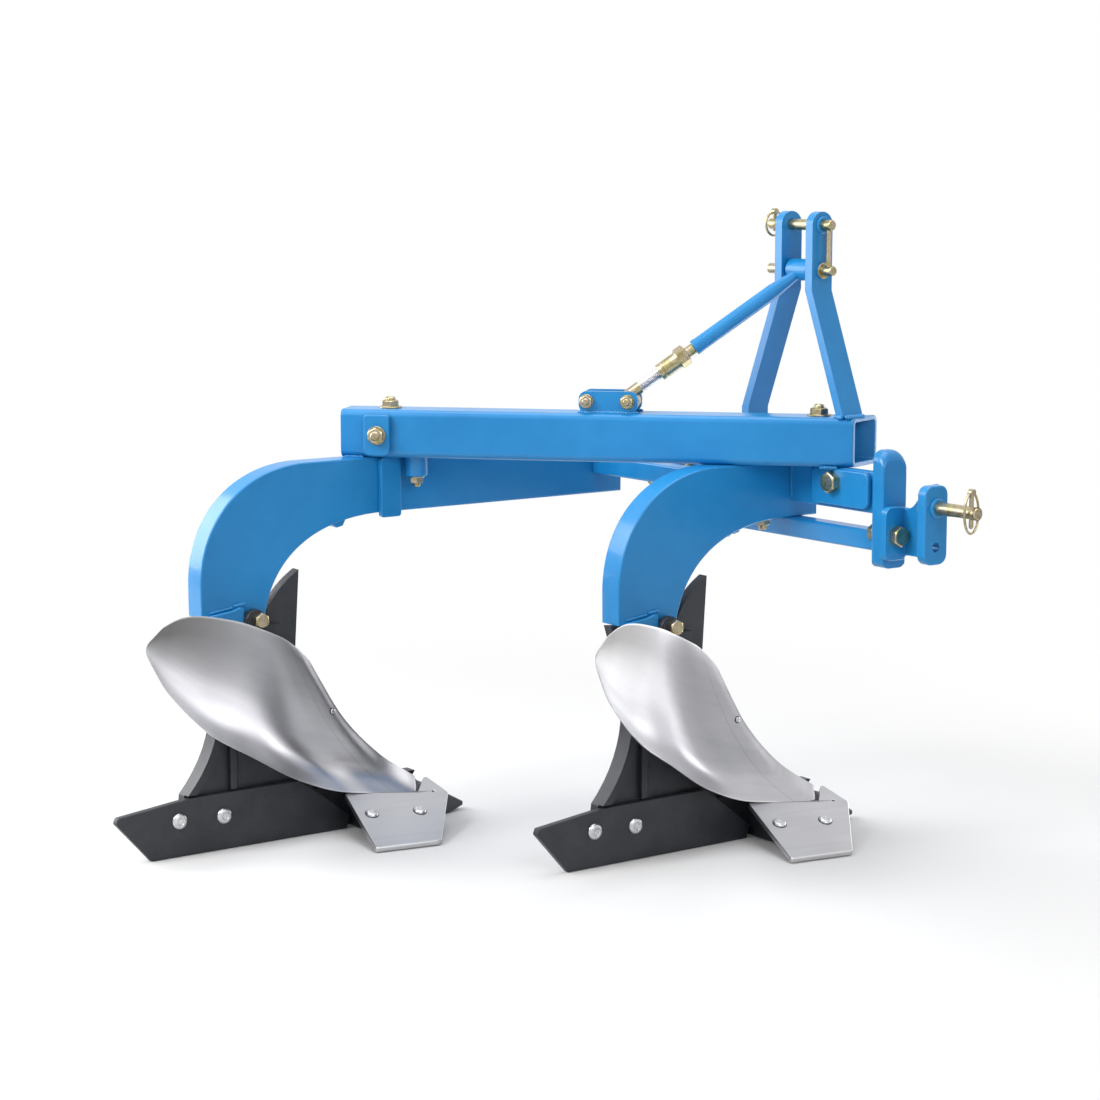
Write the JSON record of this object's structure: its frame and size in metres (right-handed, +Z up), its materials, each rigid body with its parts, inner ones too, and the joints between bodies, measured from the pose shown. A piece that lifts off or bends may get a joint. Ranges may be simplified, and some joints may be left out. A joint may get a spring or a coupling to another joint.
{
  "type": "mounted two-furrow moldboard plough",
  "caption": "Tractor-mounted moldboard plough: a slanting tube over two curved beams, a mast with a stay, and bodies with polished boards.",
  "frame": {"origin": "middle of the base, on the ground under the middle of the overall box", "axes": "+X is the way the plough is drawn, +Y is to its left, +Z is up"},
  "size_m": [1.302, 1.0104, 1.103],
  "materials": {
    "blue_enamel": "glossy enamel",
    "black_paint": "satin, fine grain",
    "polished_steel": "brushed and polished",
    "bright_steel": "bright thread",
    "yellow_zinc": "yellow zinc plate"
  },
  "bodies": {
    "root": {"beam_tie": "blue_enamel", "cross_bar": "blue_enamel", "front_beam": "blue_enamel", "front_frog": "black_paint", "front_landside_bar": "black_paint", "front_mouldboard": "polished_steel", "front_share": "polished_steel", "front_share_point": "black_paint", "hitch_gusset": "blue_enamel", "hitch_gusset_plate": "blue_enamel", "hitch_lug_left": "blue_enamel", "hitch_lug_right": "blue_enamel", "hitch_post_left": "blue_enamel", "hitch_post_right": "blue_enamel", "lower_left_linch_pin": "yellow_zinc", "lower_pin_left": "yellow_zinc", "lower_pin_right": "yellow_zinc", "lower_right_linch_pin": "yellow_zinc", "main_tube": "blue_enamel", "mast_left": "blue_enamel", "mast_right": "blue_enamel", "pin_keeper": "yellow_zinc", "rear_beam": "blue_enamel", "rear_clamp_boss": "blue_enamel", "rear_clamp_plate": "blue_enamel", "rear_clamp_strap": "blue_enamel", "rear_frog": "black_paint", "rear_landside_bar": "black_paint", "rear_mouldboard": "polished_steel", "rear_share": "polished_steel", "rear_share_point": "black_paint", "stay_bracket_far": "blue_enamel", "stay_bracket_near": "blue_enamel", "stay_bracket_pin": "yellow_zinc", "stay_bracket_spacer": "yellow_zinc", "stay_coupling": "yellow_zinc", "stay_eye": "yellow_zinc", "stay_pin": "yellow_zinc", "stay_screw": "bright_steel", "stay_tube": "blue_enamel", "top_linch_pin": "yellow_zinc", "top_link_pin": "yellow_zinc"},
    "right_ring": {"lower_right_ring": "yellow_zinc"},
    "left_ring": {"lower_left_ring": "yellow_zinc"},
    "upper_ring": {"top_ring": "yellow_zinc"}
  },
  "joints": [
    {"name": "right_ring_hinge", "type": "hinge", "parent": "root", "child": "right_ring", "pos_m": [0.51604, -0.48924, 0.65], "axis": [-1, 0, 0], "range_deg": [0, 150]},
    {"name": "left_ring_hinge", "type": "hinge", "parent": "root", "child": "left_ring", "pos_m": [0.51604, 0.35376, 0.65], "axis": [1, 0, 0], "range_deg": [0, 150]},
    {"name": "top_ring_hinge", "type": "hinge", "parent": "root", "child": "upper_ring", "pos_m": [0.51604, 0.00926, 1.097], "axis": [1, 0, 0], "range_deg": [0, 150]}
  ]
}
